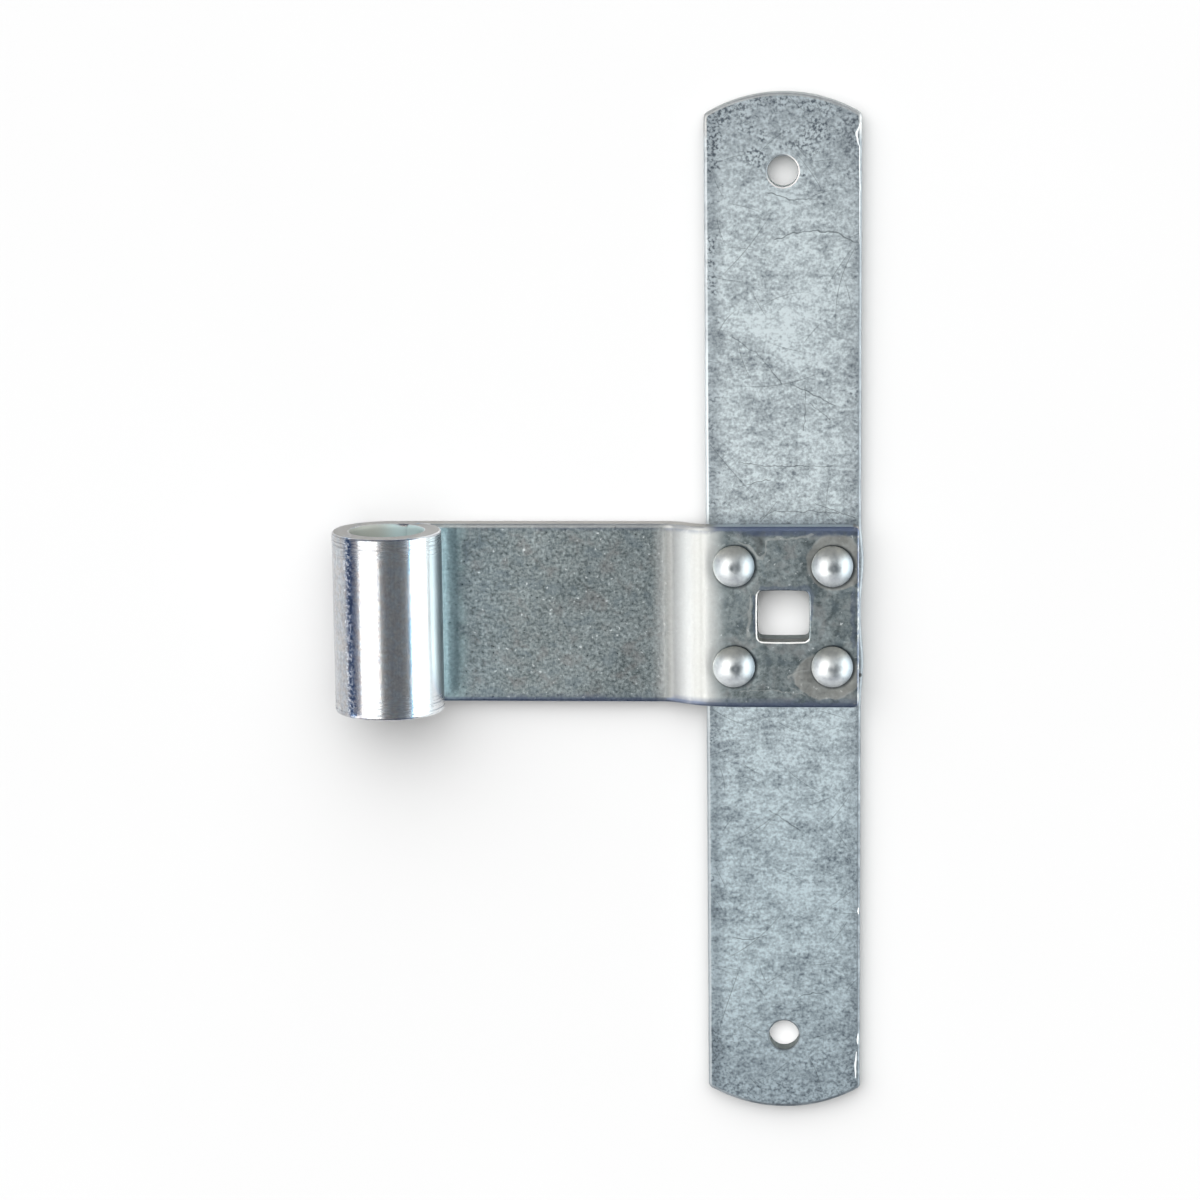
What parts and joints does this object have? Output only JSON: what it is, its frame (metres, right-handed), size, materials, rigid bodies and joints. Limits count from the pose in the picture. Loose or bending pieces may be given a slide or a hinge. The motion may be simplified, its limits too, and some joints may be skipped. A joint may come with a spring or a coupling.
{
  "type": "band hinge leaf",
  "caption": "Zinc-coated band hinge leaf: a flat arm rolled into a pin eye, stepped up and riveted across a long strap with screw holes and a square bolt hole.",
  "frame": {"origin": "centre of the eye's bore, halfway along it", "axes": "+X from the eye to the strap, +Y along the bore and the strap, +Z out of the door's face, away from the flat back"},
  "size_m": [0.0881, 0.1728, 0.0182],
  "materials": {
    "zinc_arm": "bright zinc over a finely mottled rolled surface",
    "zinc_strap": "dull bluish zinc with scratches and speckle",
    "zinc_rivet": "satin zinc"
  },
  "bodies": {
    "root": {"eye_arm": "zinc_arm", "cross_strap": "zinc_strap", "rivet_upper_left": "zinc_rivet", "rivet_upper_right": "zinc_rivet", "rivet_lower_left": "zinc_rivet", "rivet_lower_right": "zinc_rivet"}
  },
  "joints": []
}
